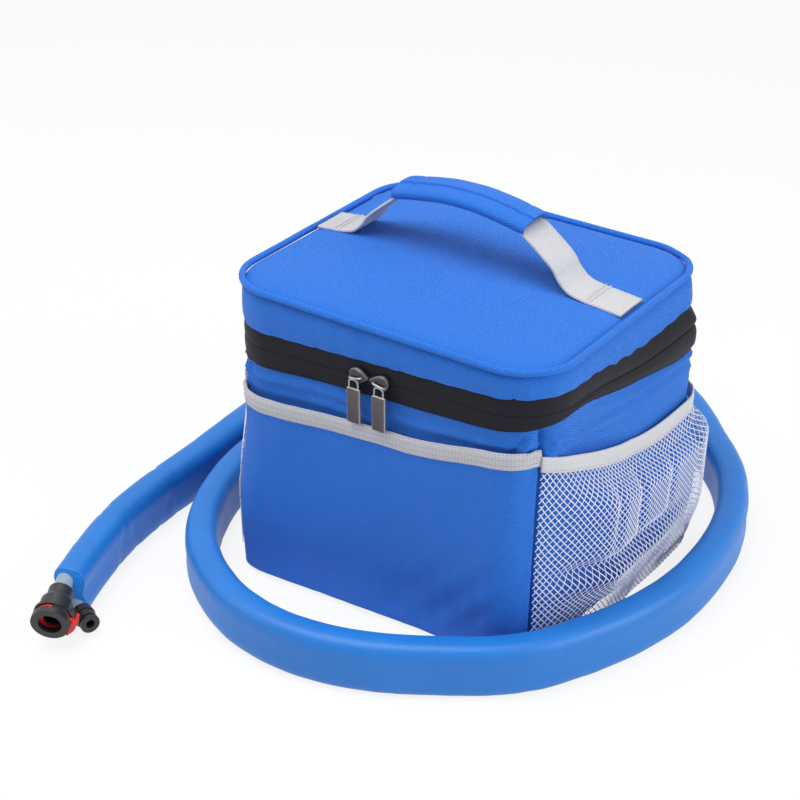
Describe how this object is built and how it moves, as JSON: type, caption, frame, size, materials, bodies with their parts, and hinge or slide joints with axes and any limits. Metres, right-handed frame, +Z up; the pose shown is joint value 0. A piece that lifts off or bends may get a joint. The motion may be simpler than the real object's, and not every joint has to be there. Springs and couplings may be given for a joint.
{
  "type": "hot and cold therapy machine",
  "caption": "Soft insulated water bag with zipped lid, carry handle and mesh pockets, a submerged pump and a flat foam-covered twin hose ending in quick couplings.",
  "frame": {"origin": "centre of the bag's bottom panel, on the surface that it stands on", "axes": "+Z up, -Y towards the bag's front with the zip sliders, +X towards the bag's right side as seen from the front"},
  "size_m": [0.351, 0.4796, 0.2392],
  "materials": {
    "bag_fabric": "woven twill, coated behind",
    "base_board": "fibre board",
    "insulation": "closed-cell foam",
    "liner": "silvered film",
    "zip_tape": "black, film coated",
    "zip_teeth": "moulded",
    "webbing": "ribbed webbing",
    "binding": "woven binding tape",
    "net": "knotless net",
    "slider_metal": "dark plated zinc",
    "pump_plastic": "moulded",
    "inlet_metal": "nickel plate",
    "rubber": "soft",
    "rotor_plastic": "moulded",
    "magnet": "ferrite",
    "ceramic": "polished",
    "tube": "clear soft tube",
    "hose_foam": "skinned foam",
    "coupling_plastic": "moulded acetal",
    "latch_plastic": "moulded"
  },
  "bodies": {
    "bag": {"bottom_panel": "bag_fabric", "front_panel": "bag_fabric", "back_panel": "bag_fabric", "left_panel": "bag_fabric", "right_panel": "bag_fabric", "rear_hinge_strip": "bag_fabric", "front_pocket": "bag_fabric", "base_board": "base_board", "wall_foam": "insulation", "floor_foam": "insulation", "water_liner": "liner", "lower_zip_tape": "zip_tape", "lower_zip_teeth": "zip_teeth", "front_pocket_binding": "binding", "left_pocket_binding": "binding", "right_pocket_binding": "binding", "left_mesh_pocket": "net", "right_mesh_pocket": "net", "pump_housing": "pump_plastic", "pump_strainer": "pump_plastic", "hose_port": "pump_plastic", "port_lock_plate": "pump_plastic", "power_inlet": "pump_plastic", "power_inlet_nut": "inlet_metal", "pump_feet": "rubber", "coupling_seal": "rubber", "pump_lead": "rubber", "supply_tube_inside": "tube", "return_tube_inside": "tube", "supply_tube_end": "tube", "return_tube_end": "tube", "hose_sleeve": "hose_foam", "quick_coupling": "coupling_plastic", "return_insert": "coupling_plastic"},
    "lid": {"lid_side_band": "bag_fabric", "lid_top_panel": "bag_fabric", "lid_piping": "bag_fabric", "lid_foam": "insulation", "lid_lining": "liner", "upper_zip_tape": "zip_tape", "upper_zip_teeth": "zip_teeth", "handle_strap_left": "webbing", "handle_strap_right": "webbing"},
    "handle_grip": {"handle_sleeve": "bag_fabric"},
    "left_slider": {"left_slider": "slider_metal"},
    "left_pull_tab": {"left_pull_tab": "slider_metal"},
    "right_slider": {"right_slider": "slider_metal"},
    "right_pull_tab": {"right_pull_tab": "slider_metal"},
    "latch": {"coupling_latch": "latch_plastic"},
    "pump_rotor": {"pump_impeller": "rotor_plastic", "pump_magnet": "magnet", "pump_shaft": "ceramic"}
  },
  "joints": [
    {"name": "lid_hinge", "type": "hinge", "parent": "bag", "child": "lid", "pos_m": [0, 0.0925, 0.16], "axis": [-1, 0, 0], "range_deg": [0, 110]},
    {"name": "handle_lift", "type": "slide", "parent": "lid", "child": "handle_grip", "axis": [0, 0, 1], "range_m": [0, 0.01], "deforming": ["handle_strap_left", "handle_strap_right"]},
    {"name": "left_slider_run", "type": "slide", "parent": "bag", "child": "left_slider", "axis": [-1, 0, 0], "range_m": [0, 0.06]},
    {"name": "left_tab_swing", "type": "hinge", "parent": "left_slider", "child": "left_pull_tab", "pos_m": [-0.00955, -0.0986, 0.1575], "axis": [-1, 0, 0], "range_deg": [0, 150]},
    {"name": "right_slider_run", "type": "slide", "parent": "bag", "child": "right_slider", "axis": [1, 0, 0], "range_m": [0, 0.06]},
    {"name": "right_tab_swing", "type": "hinge", "parent": "right_slider", "child": "right_pull_tab", "pos_m": [0.00755, -0.0986, 0.1575], "axis": [-1, 0, 0], "range_deg": [0, 150]},
    {"name": "latch_press", "type": "slide", "parent": "bag", "child": "latch", "axis": [-0.6719, -0.4812, 0.563], "range_m": [0, 0.0014], "stiffness_N_per_m": 1500, "springref_m": -0.001},
    {"name": "rotor_spin", "type": "hinge", "parent": "bag", "child": "pump_rotor", "pos_m": [0.056, 0.044, 0.035], "axis": [0, 0, 1], "continuous": true}
  ]
}
